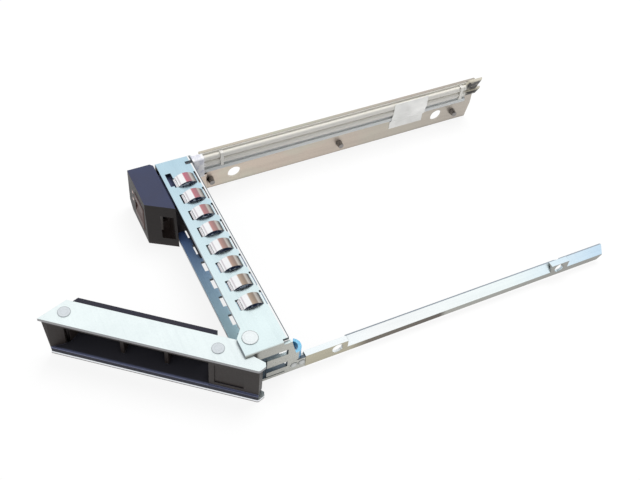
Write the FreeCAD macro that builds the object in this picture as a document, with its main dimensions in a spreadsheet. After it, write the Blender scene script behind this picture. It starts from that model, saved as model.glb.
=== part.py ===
"""Hot swap drive caddy: folded steel chassis, two rails, swing handle and push button latch.

Millimetres, +Z up. X runs across the caddy and Y runs from the front to the rear. The origin
lies at mid width, in the plane of the chassis front edge, on the plane that the caddy rests on.
"""
import FreeCAD, Part
import math
import os
import re

import Sketcher

SIZES = {
    # Front chassis, folded from one sheet
    "caddy_width": 76.0,
    "top_level": 16.2,
    "floor_level": 1.05,
    "sheet": 1.0,
    "plate_depth": 10.9,
    "bend_radius": 0.8,
    "bulge_depth": 2.1,
    "bulge_length": 6.0,
    "bulge_start": 8.7,
    "wall_front": 0.7,
    "relief_front": 9.0,
    "relief_drop": 0.9,
    "relief_width": 1.2,
    "wall_top_back": 11.4,
    "wall_back": 12.9,
    "wall_flare": 1.2,
    "wall_foot_back": 16.0,
    "wall_foot_height": 5.4,
    "wall_foot_front": 9.7,
    "wall_slot_back": 10.5,
    "upper_slot_front": 2.6,
    "upper_slot_floor": 10.0,
    "lower_slot_floor": 4.3,
    "wall_slot_height": 2.2,
    "prong_front": 4.3,
    "prong_floor": 2.4,
    "ear_back": 14.0,
    "ear_corner": 3.0,
    "notch_inset": 2.6,
    "notch_width": 1.3,
    "notch_depth": 2.2,
    "tab_floor": 5.6,
    "tab_height": 3.4,
    "tab_radius": 1.6,
    "tab_angle": 150.0,
    # Contact fingers and their slots
    "finger_count": 8,
    "finger_pitch": 7.12,
    "finger_start": 8.16,
    "finger_width": 4.8,
    "finger_leg_width": 3.5,
    "finger_sheet": 0.2,
    "finger_radius": 4.9,
    "finger_rise": 1.35,
    "finger_middle": 6.65,
    "finger_hook": 0.35,
    "finger_band_front": 7.9,
    "slot_length": 3.9,
    "slot_front": 2.3,
    "slot_width": 1.35,
    "back_slot_front": 9.65,
    "back_slot_width": 0.55,
    "key_hole_start": 5.7,
    "key_hole_length": 5.6,
    "key_hole_front": 1.2,
    "key_hole_width": 1.8,
    "floor_slot_front": 2.75,
    "floor_slot_shift": 1.3,
    # Pivot and swing handle
    "pivot_inset": 5.0,
    "pivot_depth": 1.3,
    "pin_radius": 1.5,
    "pin_clearance": 0.05,
    "pin_head_radius": 2.25,
    "pin_head_height": 0.2,
    "pin_foot_gap": 0.1,
    "slide_gap": 0.05,
    "open_angle": 51.1,
    "handle_sheet": 1.0,
    "handle_front": 8.85,
    "handle_back": 0.9,
    "handle_near_end": 5.1,
    "lobe_radius": 3.3,
    "nose_reach": 6.3,
    "nose_front": 6.9,
    "nose_back": 5.75,
    "throat_reach": 1.5,
    "throat_front": 4.5,
    "corner_radius": 0.9,
    "face_inset": 0.1,
    "insert_end_inset": 0.9,
    "insert_lean": 1.2,
    "insert_back": 1.3,
    "insert_step": 1.6,
    "insert_step_level": 2.6,
    "insert_near_reach": 9.3,
    "swing_clearance": 0.3,
    "insert_throat": 4.7,
    "cell_floor": 2.7,
    "cell_roof": 13.5,
    "cell_back_wall": 1.0,
    "cell_far_inset": 6.2,
    "cell_near_end": 8.9,
    "cell_shear": 2.7,
    "rib_sheet": 1.0,
    "rib_recess": 3.4,
    "first_rib_share": 0.615,
    "second_rib_share": 0.31,
    "ramp_reach": 3.6,
    "ramp_depth": 2.3,
    "panel_recess": 0.4,
    "lip_level": 2.5,
    "badge_reach": 7.4,
    "badge_width": 8.2,
    "badge_floor": 4.2,
    "badge_height": 8.0,
    "badge_recess": 0.3,
    "handle_rivet_front": 4.86,
    "far_rivet_inset": 6.4,
    "near_rivet_reach": 7.3,
    "handle_rivet_radius": 0.9,
    "handle_rivet_head": 1.75,
    "handle_rivet_head_height": 0.15,
    # Latch housing at the far front corner, and what it holds
    "housing_front": 8.4,
    "housing_back": 0.4,
    "housing_far_reach": 1.2,
    "housing_corner": 0.9,
    "housing_floor": 0.15,
    "housing_top": 15.15,
    "housing_edge": 2.6,
    "block_margin": 0.9,
    "parting_slope": 0.62,
    "parting_lean": 2.0,
    "parting_gap": 0.3,
    "lug_inset": 3.4,
    "lug_length": 26.0,
    "lug_step": 17.4,
    "lug_step_back": 3.2,
    "lug_back": 8.6,
    "lug_gap": 0.1,
    "lug_top": 14.3,
    "bay_front_level": 3.0,
    "bay_height": 8.5,
    "bay_start": 4.6,
    "bay_end": 1.1,
    "bay_depth": 2.6,
    "button_start": 5.4,
    "button_width": 8.0,
    "button_floor": 2.9,
    "button_height": 9.2,
    "button_proud": 0.3,
    "button_depth": 5.2,
    "button_clearance": 0.15,
    "button_travel": 1.8,
    "button_edge": 0.6,
    "button_dish_radius": 6.0,
    "button_dish_depth": 0.45,
    "spring_radius": 2.0,
    "spring_wire": 0.25,
    "spring_turns": 5,
    "spring_room": 2.5,
    "spring_length": 5.0,
    "handle_spring_lift": 3.0,
    "handle_spring_turns": 4,
    "handle_spring_rise": 0.8,
    "handle_spring_gap": 0.2,
    "hook_gap": 0.5,
    "hook_sheet": 0.8,
    "hook_arm_height": 2.4,
    "hook_arm_inset": 1.6,
    "hook_bar_height": 6.4,
    "hook_inset": 4.0,
    "lens_start": 2.4,
    "lens_size": 1.1,
    "lens_upper_level": 9.2,
    "lens_lower_level": 6.2,
    "lens_length": 6.0,
    # Rails that hold the drive by its side holes
    "screw_front": 26.1,
    "screw_spacing": 76.6,
    "screw_level": 3.9,
    "far_hole_radius": 2.3,
    "near_hole_radius": 1.7,
    "far_rail_front": 14.2,
    "far_rail_back": 116.4,
    "far_rail_slant": 1.2,
    "far_rail_slant_height": 6.0,
    "tongue_front": 10.7,
    "tongue_top": 7.6,
    "joggle_length": 1.0,
    "far_joggle_length": 2.3,
    "joggle_round": 0.7,
    "stud_front": 17.7,
    "stud_middle": 64.2,
    "stud_back": 109.2,
    "stud_radius": 1.1,
    "stud_height": 1.95,
    "rail_sheet": 0.8,
    "rail_floor": 0.95,
    "rail_lip": 3.0,
    "rail_lean": 56.3,
    "rail_panel": 3.3,
    "rail_front": 16.1,
    "rail_back": 119.5,
    "rail_nose": 1.5,
    "pad_back": 29.3,
    "pad_top": 5.8,
    "pad_flange": 1.9,
    "pad_half_length": 3.2,
    "near_tongue_front": 11.0,
    "near_tongue_floor": 1.5,
    "near_tongue_top": 5.2,
    # Small rivets that join the rails to the chassis
    "rivet_radius": 0.7,
    "rivet_head_radius": 1.1,
    "rivet_head_height": 0.3,
    "far_rivet_depth": 12.4,
    "far_rivet_low": 3.0,
    "far_rivet_high": 5.8,
    "near_rivet_low": 3.7,
    "near_rivet_first": 12.5,
    "near_rivet_second": 14.9,
    # Light pipes on the far rail, with their carrier, clips and the bare label
    "carrier_floor": 8.2,
    "carrier_top": 16.1,
    "carrier_sheet": 0.3,
    "carrier_front": 14.6,
    "carrier_back": 113.0,
    "carrier_rib_top": 9.5,
    "carrier_rib": 0.9,
    "saddle_front": 11.2,
    "saddle_back": 15.0,
    "saddle_wall": 0.9,
    "saddle_gap": 0.1,
    "pipe_width": 2.2,
    "pipe_proud": 1.2,
    "pipe_round": 0.9,
    "upper_pipe_floor": 13.2,
    "lower_pipe_floor": 10.8,
    "pipe_front": 1.0,
    "pipe_drop": 0.6,
    "pipe_drop_front": 11.2,
    "pipe_drop_back": 14.4,
    "pipe_back": 118.6,
    "pipe_tip": 2.0,
    "tip_length": 6.6,
    "tip_rise": 1.4,
    "clip_sheet": 0.25,
    "clip_width": 1.1,
    "clip_front": 20.6,
    "clip_back": 109.6,
    "label_gap": 13.1,
    "label_length": 13.0,
    "label_floor": 3.9,
    "label_fold": 6.9,
    "label_top": 16.1,
    "label_sheet": 0.12,
}

doc = FreeCAD.newDocument("drive_caddy")
sheet = doc.addObject("Spreadsheet::Sheet", "Sizes")
for row, (alias, value) in enumerate(SIZES.items(), 1):
    sheet.set(f"A{row}", alias)
    sheet.set(f"B{row}", str(value))
    sheet.setAlias(f"B{row}", alias)
doc.recompute()

# Places that several pieces share, written as formulas of the sheet's names
NEAR = "caddy_width / 2"
FAR = "-caddy_width / 2"
FAR_INNER = "(sheet - caddy_width / 2)"
NEAR_INNER = "(caddy_width / 2 - sheet)"
PLATE_UNDER = "(top_level - sheet)"
FLOOR_TOP = "(floor_level + sheet)"
PIVOT_X = "(caddy_width / 2 - pivot_inset)"
HANDLE_FLOOR = "(floor_level - slide_gap - handle_sheet)"
INSERT_FLOOR = "(floor_level - slide_gap)"
INSERT_TOP = "(top_level - sheet - slide_gap - handle_sheet)"
SECOND_SCREW = "(screw_front + screw_spacing)"
PIPE_X = "(sheet + carrier_sheet - caddy_width / 2)"
FACE = "-housing_front"
PARTING = "(button_start + button_width + block_margin)"
HANDLE_REACH = f"(caddy_width - pivot_inset - parting_gap - {PARTING})"
CELL_END = f"({HANDLE_REACH} - cell_far_inset)"
FAR_RIVET = f"({HANDLE_REACH} - far_rivet_inset)"
MID_EDGE = f"({PARTING} + parting_lean / 2 - caddy_width / 2)"
HOOK_FRONT = "(housing_front - hook_inset)"
BAY_WALL = f"({MID_EDGE} + parting_slope * (housing_front - bay_start) - bay_depth)"


def bound(formula):
    """Return the formula with every size name led back to the sheet."""
    return re.sub(r"[a-z][a-z0-9_]*", lambda m: f"Sizes.{m[0]}" if m[0] in SIZES else m[0], str(formula))


def drive(item, field, formula):
    """Tie one field of a document object to a formula."""
    item.setExpression(field, bound(formula))


def new_body(name):
    """Start a sub-part."""
    body = doc.addObject("PartDesign::Body", name)
    body.Label = name
    return body


def constrain(drawing, kind, place, start, formula):
    """Add one measured constraint that starts at a value and follows a formula."""
    index = drawing.addConstraint(Sketcher.Constraint(kind, *place, start))
    drawing.renameConstraint(index, f"c{index}")
    drive(drawing, f"Constraints.c{index}", formula)


def pin_point(drawing, geometry, corner, across, along, start=(0.0, 0.0)):
    """Tie one point of a sketch to two formulas, measured from the sketch's origin."""
    place = (-1, 1, geometry, corner)
    constrain(drawing, "DistanceX", place, start[0], across)
    constrain(drawing, "DistanceY", place, start[1], along)


def start_sketch(body, plane, level="0"):
    """Open a sketch on one of the body's origin planes, moved along its normal by level."""
    drawing = body.newObject("Sketcher::SketchObject", f"{body.Name}_sketch")
    support = next(item for item in body.Origin.OriginFeatures if item.Role == plane)
    drawing.AttachmentSupport = [(support, "")]
    drawing.MapMode = "FlatFace"
    drive(drawing, "AttachmentOffset.Base.z", level)
    return drawing


def draw_polygon(drawing, points):
    """Add a closed outline whose corners are pairs of formulas."""
    count = len(points)
    first = drawing.GeometryCount
    ring = [FreeCAD.Vector(math.cos(math.tau * i / count), math.sin(math.tau * i / count), 0)
            for i in range(count)]
    for i in range(count):
        drawing.addGeometry(Part.LineSegment(ring[i], ring[(i + 1) % count]), False)
    for i in range(count):
        following = first + (i + 1) % count
        drawing.addConstraint(Sketcher.Constraint("Coincident", first + i, 2, following, 1))
    for i, (across, along) in enumerate(points):
        pin_point(drawing, first + i, 1, across, along)


def draw_circle(drawing, across, along, radius):
    """Add a circle from three formulas."""
    shape = Part.Circle(FreeCAD.Vector(0, 0, 0), FreeCAD.Vector(0, 0, 1), 1)
    index = drawing.addGeometry(shape, False)
    pin_point(drawing, index, 3, across, along)
    constrain(drawing, "Radius", (index,), 1.0, radius)


def outline(body, plane, level, *polygons):
    """Open a sketch that holds closed polygons."""
    drawing = start_sketch(body, plane, level)
    for points in polygons:
        draw_polygon(drawing, points)
    return drawing


def block(across, along):
    """Return the four corners of an upright rectangle."""
    low_x, high_x = across
    low_y, high_y = along
    return [(low_x, low_y), (high_x, low_y), (high_x, high_y), (low_x, high_y)]


def circle(body, plane, level, across, along, radius):
    """Open a sketch that holds one circle."""
    drawing = start_sketch(body, plane, level)
    draw_circle(drawing, across, along, radius)
    return drawing


def pad(body, drawing, length, backwards=False):
    """Raise a sketch into solid material."""
    feature = body.newObject("PartDesign::Pad", f"{body.Name}_pad")
    feature.Profile = drawing
    feature.Reversed = backwards
    drive(feature, "Length", length)
    doc.recompute()
    return feature


def pocket(body, drawing, length, backwards=False):
    """Cut a sketch into the body, against its normal unless backwards."""
    before = body.Shape.Volume
    feature = body.newObject("PartDesign::Pocket", f"{body.Name}_pocket")
    feature.Profile = drawing
    feature.Reversed = backwards
    drive(feature, "Length", length)
    doc.recompute()
    if body.Shape.Volume >= before:
        raise RuntimeError(f"{feature.Name} cuts nothing")
    return feature


def loft(body, low, high):
    """Join two sketches of the same number of corners by flat sides."""
    feature = body.newObject("PartDesign::AdditiveLoft", f"{body.Name}_loft")
    feature.Profile = low
    feature.Sections = [high]
    feature.Ruled = True
    doc.recompute()
    return feature


def edges_where(shape, test):
    """Name the straight edges of a shape whose two ends both pass a test."""
    return [f"Edge{number}" for number, edge in enumerate(shape.Edges, 1)
            if len(edge.Vertexes) == 2 and all(test(corner.Point, edge) for corner in edge.Vertexes)]


def runs_along(edge, axis):
    """Say whether an edge is straight and parallel to an axis."""
    if not isinstance(edge.Curve, Part.Line):
        return False
    return abs(abs(edge.Curve.Direction.dot(axis)) - 1) < 1e-6


def soften(body, kind, size, names):
    """Round or bevel the named edges of a body's last feature."""
    if not names:
        raise RuntimeError(f"{body.Name} has no edge to soften")
    feature = body.newObject(f"PartDesign::{kind}", f"{body.Name}_{kind}")
    feature.Base = (body.Tip if body.Tip != feature else body.Group[-2], names)
    drive(feature, "Radius" if kind == "Fillet" else "Size", size)
    doc.recompute()
    return feature


def near(first, second):
    """Say whether two lengths agree."""
    return abs(first - second) < 1e-4


AXIS_X = FreeCAD.Vector(1, 0, 0)
AXIS_Y = FreeCAD.Vector(0, 1, 0)
AXIS_Z = FreeCAD.Vector(0, 0, 1)


def swing(body):
    """Place a handle piece at the pivot, opened by the open angle."""
    body.Placement = FreeCAD.Placement(FreeCAD.Vector(), FreeCAD.Rotation(AXIS_Z, 1))
    drive(body, "Placement.Base.x", PIVOT_X)
    drive(body, "Placement.Base.y", "pivot_depth")
    drive(body, "Placement.Rotation.Angle", "open_angle")


def finger_slots(front, width, length, shift="0"):
    """Return one rectangle for each contact finger, centred on the finger or shifted across."""
    slots = []
    for number in range(SIZES["finger_count"]):
        middle = f"(finger_start + slot_length / 2 + {number} * finger_pitch + {shift} - caddy_width / 2)"
        slots.append(block((f"{middle} - {length} / 2", f"{middle} + {length} / 2"),
                           (front, f"{front} + {width}")))
    return slots


def make_chassis():
    """Fold the front chassis: top and floor plates, the slotted near wall and the far ear."""
    body = new_body("front_chassis")
    plate = [(FAR, "0"), (f"{NEAR} - bulge_start", "0"), (f"{NEAR} - bulge_length", "-bulge_depth"),
             (NEAR, "-bulge_depth"), (NEAR, "plate_depth"), (FAR, "plate_depth")]
    pad(body, outline(body, "XY_Plane", PLATE_UNDER, plate), "sheet")
    pad(body, outline(body, "XY_Plane", "floor_level", plate), "sheet")
    wall = [("wall_front", "top_level"), ("wall_front", "upper_slot_floor + wall_slot_height"),
            ("wall_slot_back", "upper_slot_floor + wall_slot_height"),
            ("wall_slot_back", "upper_slot_floor"), ("prong_front", "upper_slot_floor"),
            ("prong_front", "lower_slot_floor + wall_slot_height"),
            ("wall_slot_back", "lower_slot_floor + wall_slot_height"),
            ("wall_slot_back", "lower_slot_floor"), ("prong_front", "lower_slot_floor"),
            ("prong_front", "prong_floor"), ("wall_foot_front", "prong_floor"),
            ("wall_foot_front", "floor_level"), ("wall_foot_back", "floor_level"),
            ("wall_foot_back", "wall_foot_height"), ("wall_back + wall_flare", "wall_foot_height"),
            ("wall_back", "tab_floor"), ("wall_back", "tab_floor + tab_height"),
            ("wall_top_back", "top_level - relief_drop"), ("relief_front", "top_level - relief_drop"),
            ("relief_front", "top_level")]
    pad(body, outline(body, "YZ_Plane", NEAR_INNER, wall), "sheet")
    ear = [("0", "floor_level"), ("ear_back", "floor_level"), ("ear_back", "top_level - ear_corner"),
           ("plate_depth", "top_level"), ("0", "top_level")]
    pad(body, outline(body, "YZ_Plane", FAR, ear), "sheet")
    relief = block((f"{NEAR} - relief_width", NEAR), ("relief_front", "plate_depth"))
    notch = block((f"{FAR} + notch_inset", f"{FAR} + notch_inset + notch_width"),
                  ("plate_depth - notch_depth", "plate_depth"))
    pocket(body, outline(body, "XY_Plane", "top_level", relief, notch), "sheet")
    pocket(body, outline(body, "XY_Plane", "top_level",
                         *finger_slots("slot_front", "slot_width", "slot_length"),
                         *finger_slots("back_slot_front", "back_slot_width", "(finger_width + 0.4)")),
           "sheet")
    key_hole = block((f"{FAR} + key_hole_start", f"{FAR} + key_hole_start + key_hole_length"),
                     ("key_hole_front", "key_hole_front + key_hole_width"))
    pocket(body, outline(body, "XY_Plane", "top_level", key_hole), "sheet")
    pocket(body, outline(body, "XY_Plane", FLOOR_TOP,
                         *finger_slots("floor_slot_front", "slot_width", "slot_length",
                                       "floor_slot_shift")), "sheet")
    pocket(body, circle(body, "XY_Plane", "top_level", PIVOT_X, "pivot_depth", "pin_radius"), "top_level")
    far_holes = start_sketch(body, "YZ_Plane", FAR_INNER)
    draw_circle(far_holes, "far_rivet_depth", "far_rivet_low", "rivet_radius")
    draw_circle(far_holes, "far_rivet_depth", "far_rivet_high", "rivet_radius")
    pocket(body, far_holes, "sheet")
    near_holes = start_sketch(body, "YZ_Plane", NEAR)
    draw_circle(near_holes, "near_rivet_first", "near_rivet_low", "rivet_radius")
    draw_circle(near_holes, "near_rivet_second", "near_rivet_low", "rivet_radius")
    pocket(body, near_holes, "sheet")
    add_curled_tab(body)
    half = SIZES["caddy_width"] / 2
    levels = ((half, SIZES["top_level"]), (-half, SIZES["top_level"]), (-half, SIZES["floor_level"]))
    bends = edges_where(body.Shape, lambda p, e: runs_along(e, AXIS_Y)
                        and any(near(p.x, x) and near(p.z, z) for x, z in levels))
    soften(body, "Fillet", "bend_radius", bends)
    return body


def add_curled_tab(body):
    """Curl the small guide tab inwards behind the near wall."""
    drawing = start_sketch(body, "XZ_Plane", "-wall_back")
    drive(drawing, "AttachmentOffset.Base.x", f"{NEAR_INNER} - tab_radius")
    draw_polygon(drawing, block(("tab_radius", "tab_radius + sheet"),
                                ("tab_floor", "tab_floor + tab_height")))
    curl = body.newObject("PartDesign::Revolution", "curled_tab")
    curl.Profile = drawing
    curl.ReferenceAxis = (drawing, ["V_Axis"])
    curl.Reversed = False
    drive(curl, "Angle", "tab_angle")
    doc.recompute()


def make_finger_strip():
    """Stamp the contact strip: a band under the top plate and arched fingers that hook forward."""
    body = new_body("emi_finger_strip")
    middle = "(finger_start + slot_length / 2 - caddy_width / 2)"
    half_span = "sqrt(finger_radius ^ 2 - (finger_radius - finger_rise) ^ 2)"
    half_inner = "sqrt((finger_radius - finger_sheet) ^ 2 - (finger_radius - finger_rise) ^ 2)"
    band_top = "(top_level - sheet - slide_gap)"
    band = block((f"{middle} - finger_width / 2",
                  f"{middle} + finger_width / 2 + finger_pitch * (finger_count - 1)"),
                 ("finger_band_front", f"finger_middle + {half_span}"))
    pad(body, outline(body, "XY_Plane", f"{band_top} - finger_sheet", band), "finger_sheet")
    arch = start_sketch(body, "YZ_Plane", f"{middle} - finger_width / 2")
    centre_level = "(top_level + finger_rise - finger_radius)"
    centre = (SIZES["finger_middle"], SIZES["top_level"] + SIZES["finger_rise"] - SIZES["finger_radius"])
    drop = SIZES["finger_radius"] - SIZES["finger_rise"]
    ends = []
    for arc, (thinner, reach) in enumerate((("0", half_span), ("finger_sheet", half_inner))):
        radius = SIZES["finger_radius"] - SIZES.get(thinner, 0)
        turn = math.asin(drop / radius)
        ring = Part.ArcOfCircle(Part.Circle(FreeCAD.Vector(*centre, 0), AXIS_Z, radius), turn, math.pi - turn)
        arch.addGeometry(ring, False)
        pin_point(arch, arc, 3, "finger_middle", centre_level, centre)
        constrain(arch, "Radius", (arc,), radius, f"finger_radius - {thinner}")
        constrain(arch, "DistanceX", (-1, 1, arc, 1), ring.StartPoint.x, f"finger_middle + {reach}")
        constrain(arch, "DistanceX", (-1, 1, arc, 2), ring.EndPoint.x, f"finger_middle - {reach}")
        ends.append((ring.StartPoint, ring.EndPoint))
    for corner, (outer, inner) in enumerate(zip(*ends), 1):
        line = arch.addGeometry(Part.LineSegment(outer, inner), False)
        arch.addConstraint(Sketcher.Constraint("Coincident", line, 1, 0, corner))
        arch.addConstraint(Sketcher.Constraint("Coincident", line, 2, 1, corner))
    arch_pad = pad(body, arch, "finger_width")
    back_leg = outline(body, "YZ_Plane", f"{middle} - finger_width / 2",
                       block((f"finger_middle + {half_inner}", f"finger_middle + {half_span}"),
                             (f"{band_top} - finger_sheet", "top_level")))
    back_pad = pad(body, back_leg, "finger_width")
    front_leg = outline(body, "YZ_Plane", f"{middle} - finger_leg_width / 2",
                        block((f"finger_middle - {half_span}", f"finger_middle - {half_inner}"),
                              (f"{PLATE_UNDER} - finger_hook", "top_level")))
    front_pad = pad(body, front_leg, "finger_leg_width")
    row = body.newObject("PartDesign::LinearPattern", "finger_row")
    row.Originals = [arch_pad, back_pad, front_pad]
    row.Direction = (body.Group[0], ["H_Axis"])
    drive(row, "Length", "finger_pitch * (finger_count - 1)")
    drive(row, "Occurrences", "finger_count")
    body.Tip = row
    doc.recompute()
    return body


def make_far_rail():
    """Make the tall far rail with its joggled tongue and the two drive holes."""
    body = new_body("far_rail")
    side = [("far_rail_front", "0"), ("far_rail_back - far_rail_slant", "0"),
            ("far_rail_back", "far_rail_slant_height"), ("far_rail_back", "top_level"),
            ("far_rail_front", "top_level")]
    pad(body, outline(body, "YZ_Plane", FAR, side), "sheet")
    joggle = block(("far_rail_front", "far_rail_front + far_joggle_length"),
                   ("floor_level", "tongue_top"))
    pad(body, outline(body, "YZ_Plane", FAR, joggle), "2 * sheet")
    tongue = block(("tongue_front", "far_rail_front + far_joggle_length"),
                   (FLOOR_TOP + " + slide_gap", "tongue_top"))
    pad(body, outline(body, "YZ_Plane", FAR_INNER, tongue), "sheet")
    inner = 2 * SIZES["sheet"] - SIZES["caddy_width"] / 2
    behind = SIZES["far_rail_front"] + SIZES["far_joggle_length"]
    bends = edges_where(body.Shape, lambda p, e: runs_along(e, AXIS_Z) and near(p.x, inner)
                        and near(p.y, behind))
    soften(body, "Fillet", "joggle_round", bends)
    holes = start_sketch(body, "YZ_Plane", f"{FAR_INNER} + sheet")
    for depth in ("screw_front", SECOND_SCREW):
        draw_circle(holes, depth, "screw_level", "far_hole_radius")
    for level in ("far_rivet_low", "far_rivet_high"):
        draw_circle(holes, "far_rivet_depth", level, "rivet_radius")
    pocket(body, holes, "2 * sheet")
    return body


def make_near_rail():
    """Fold the low near rail: an upright lip, a leaning panel and two taller screw pads."""
    body = new_body("near_rail")
    top_x = f"{NEAR} - rail_panel * cos(rail_lean)"
    top_z = "rail_lip + rail_panel * sin(rail_lean)"
    inner_x = f"{NEAR} - rail_sheet"
    bend = "rail_sheet * tan((90 - rail_lean) / 2)"
    slim = [(NEAR, "rail_floor"), (NEAR, "rail_lip"), (top_x, top_z),
            (f"{top_x} - rail_sheet * sin(rail_lean)", f"{top_z} - rail_sheet * cos(rail_lean)"),
            (inner_x, f"rail_lip - {bend}"), (inner_x, "rail_floor")]
    tall = [(NEAR, "rail_floor"), (NEAR, "pad_top"), (f"{NEAR} - pad_flange", "pad_top"),
            (f"{NEAR} - pad_flange", "pad_top - rail_sheet"), (inner_x, "pad_top - rail_sheet"),
            (inner_x, "rail_floor")]
    pad(body, outline(body, "XZ_Plane", "-pad_back", slim), "rail_back - pad_back", True)
    pad(body, outline(body, "XZ_Plane", "-rail_front", tall), "pad_back - rail_front", True)
    pad(body, outline(body, "XZ_Plane", f"-({SECOND_SCREW} - pad_half_length)", tall),
        "2 * pad_half_length", True)
    joggle = block(("rail_front", "rail_front + joggle_length"), ("rail_floor", "near_tongue_top"))
    pad(body, outline(body, "YZ_Plane", f"{NEAR_INNER} - rail_sheet", joggle), "sheet + rail_sheet")
    tongue = block(("near_tongue_front", "rail_front + joggle_length"),
                   (FLOOR_TOP + " + slide_gap", "near_tongue_top"))
    pad(body, outline(body, "YZ_Plane", f"{NEAR_INNER} - rail_sheet", tongue), "rail_sheet")
    screws = start_sketch(body, "YZ_Plane", NEAR)
    for depth in ("screw_front", SECOND_SCREW):
        draw_circle(screws, depth, "screw_level", "near_hole_radius")
    for depth in ("near_rivet_first", "near_rivet_second"):
        draw_circle(screws, depth, "near_rivet_low", "rivet_radius")
    pocket(body, screws, "3 * sheet")
    nose = [("rail_back - rail_nose", "rail_floor"), ("rail_back", "rail_floor"),
            ("rail_back", "rail_floor + rail_nose")]
    pocket(body, outline(body, "YZ_Plane", NEAR, nose), "3 * sheet")
    return body


def make_light_pipe(name, floor, rise):
    """Mould one clear light pipe that dips under the top plate and may rise at its rear tip."""
    body = new_body(name)
    low = f"{floor} - pipe_drop"
    side = [("pipe_front", low), ("pipe_drop_front", low), ("pipe_drop_back", floor),
            ("pipe_back - pipe_tip", floor), ("pipe_back", f"{floor} + pipe_width + {rise}"),
            (f"pipe_back - tip_length + {rise}", f"{floor} + pipe_width + {rise}"),
            ("pipe_back - tip_length", f"{floor} + pipe_width"),
            ("pipe_drop_back", f"{floor} + pipe_width"), ("pipe_drop_front", f"{low} + pipe_width"),
            ("pipe_front", f"{low} + pipe_width")]
    if rise == "0":
        side.pop(5)
    pad(body, outline(body, "YZ_Plane", PIPE_X, side), "pipe_proud")
    outer = -SIZES["caddy_width"] / 2 + SIZES["sheet"] + SIZES["carrier_sheet"] + SIZES["pipe_proud"]
    long_edges = edges_where(body.Shape, lambda p, e: near(p.x, outer) and not runs_along(e, AXIS_Z))
    soften(body, "Fillet", "pipe_round", long_edges)
    return body


def make_carrier():
    """Mould the thin clear strip that backs the light pipes, with its stiffening rib."""
    body = new_body("light_pipe_carrier")
    strip = block(("carrier_front", "carrier_back"), ("carrier_floor", "carrier_top"))
    pad(body, outline(body, "YZ_Plane", FAR_INNER, strip), "carrier_sheet")
    rib = block(("carrier_front", "carrier_back"), ("carrier_floor", "carrier_rib_top"))
    pad(body, outline(body, "YZ_Plane", FAR_INNER, rib), "carrier_rib")
    room_x = f"{PIPE_X} + pipe_proud + saddle_gap"
    shell = block((FAR_INNER, f"{room_x} + saddle_wall"), ("carrier_floor", "carrier_top"))
    room = block((PIPE_X, room_x), ("lower_pipe_floor - pipe_drop - saddle_gap",
                                    "upper_pipe_floor + pipe_width + saddle_gap"))
    pad(body, outline(body, "XZ_Plane", "-saddle_front", shell, room), "saddle_back - saddle_front", True)
    outer = SIZES["sheet"] + SIZES["carrier_sheet"] + SIZES["pipe_proud"] + SIZES["saddle_gap"]
    outer += SIZES["saddle_wall"] - SIZES["caddy_width"] / 2
    rims = edges_where(body.Shape, lambda p, e: near(p.x, outer))
    soften(body, "Fillet", "saddle_wall * 0.6", rims)
    return body


def make_clip(name, front):
    """Bend the small clip that holds both light pipes against the carrier."""
    body = new_body(name)
    outer_x = f"{PIPE_X} + pipe_proud + slide_gap + clip_sheet"
    inner_x = f"{PIPE_X} + pipe_proud + slide_gap"
    low = "lower_pipe_floor - slide_gap"
    high = "upper_pipe_floor + pipe_width + slide_gap"
    profile = [(PIPE_X, f"{low} - clip_sheet"), (outer_x, f"{low} - clip_sheet"),
               (outer_x, f"{high} + clip_sheet"), (PIPE_X, f"{high} + clip_sheet"), (PIPE_X, high),
               (inner_x, high), (inner_x, low), (PIPE_X, low)]
    pad(body, outline(body, "XZ_Plane", f"-{front}", profile), "clip_width", True)
    return body


def make_label():
    """Lay the bare paper label over the light pipes and down onto the rail."""
    body = new_body("blank_label")
    over_rib = f"{FAR_INNER} + carrier_rib + slide_gap"
    over_pipe = f"{PIPE_X} + pipe_proud + slide_gap"
    path = [(FAR_INNER, "label_floor"), (FAR_INNER, "label_fold"), (over_rib, "carrier_floor - slide_gap"),
            (over_rib, "carrier_rib_top"), (over_pipe, "lower_pipe_floor + pipe_round"),
            (over_pipe, "label_top")]
    profile = path + [(f"{across} + label_sheet", level) for across, level in reversed(path)]
    pad(body, outline(body, "XZ_Plane", "label_gap + label_length - clip_back", profile), "label_length", True)
    return body


def handle_outline(lean):
    """Return the handle plate's outline about the pivot, its slanted end shifted by lean."""
    end = f"({lean} - {HANDLE_REACH})"
    back_shift = "parting_slope * (housing_front + pivot_depth - handle_back)"
    front_shift = "parting_slope * (housing_front + pivot_depth - handle_front)"
    return [(f"{end} + {front_shift}", "-handle_front"), ("handle_near_end", "-handle_front"),
            ("nose_reach", "-nose_front"), ("nose_reach - 0.4", "-nose_back"),
            ("throat_reach", "-throat_front"), ("throat_reach", "0"), ("-throat_reach", "0"),
            ("-lobe_radius", "-handle_back"), (f"{end} + {back_shift}", "-handle_back")]


def make_handle_plate(name, level, lean):
    """Blank one steel plate of the handle, with its eye for the pivot pin."""
    body = new_body(name)
    pad(body, outline(body, "XY_Plane", level, handle_outline(lean)), "handle_sheet")
    pad(body, circle(body, "XY_Plane", level, "0", "0", "lobe_radius"), "handle_sheet")
    holes = start_sketch(body, "XY_Plane", f"{level} + handle_sheet")
    draw_circle(holes, "0", "0", "pin_radius + pin_clearance")
    for reach in (FAR_RIVET, "near_rivet_reach"):
        draw_circle(holes, f"-{reach}", "-handle_rivet_front", "handle_rivet_radius")
    pocket(body, holes, "handle_sheet")
    front = -SIZES["handle_front"]
    corners = edges_where(body.Shape, lambda p, e: runs_along(e, AXIS_Z) and near(p.y, front) and p.x > 0)
    soften(body, "Fillet", "corner_radius", corners)
    swing(body)
    return body


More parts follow.
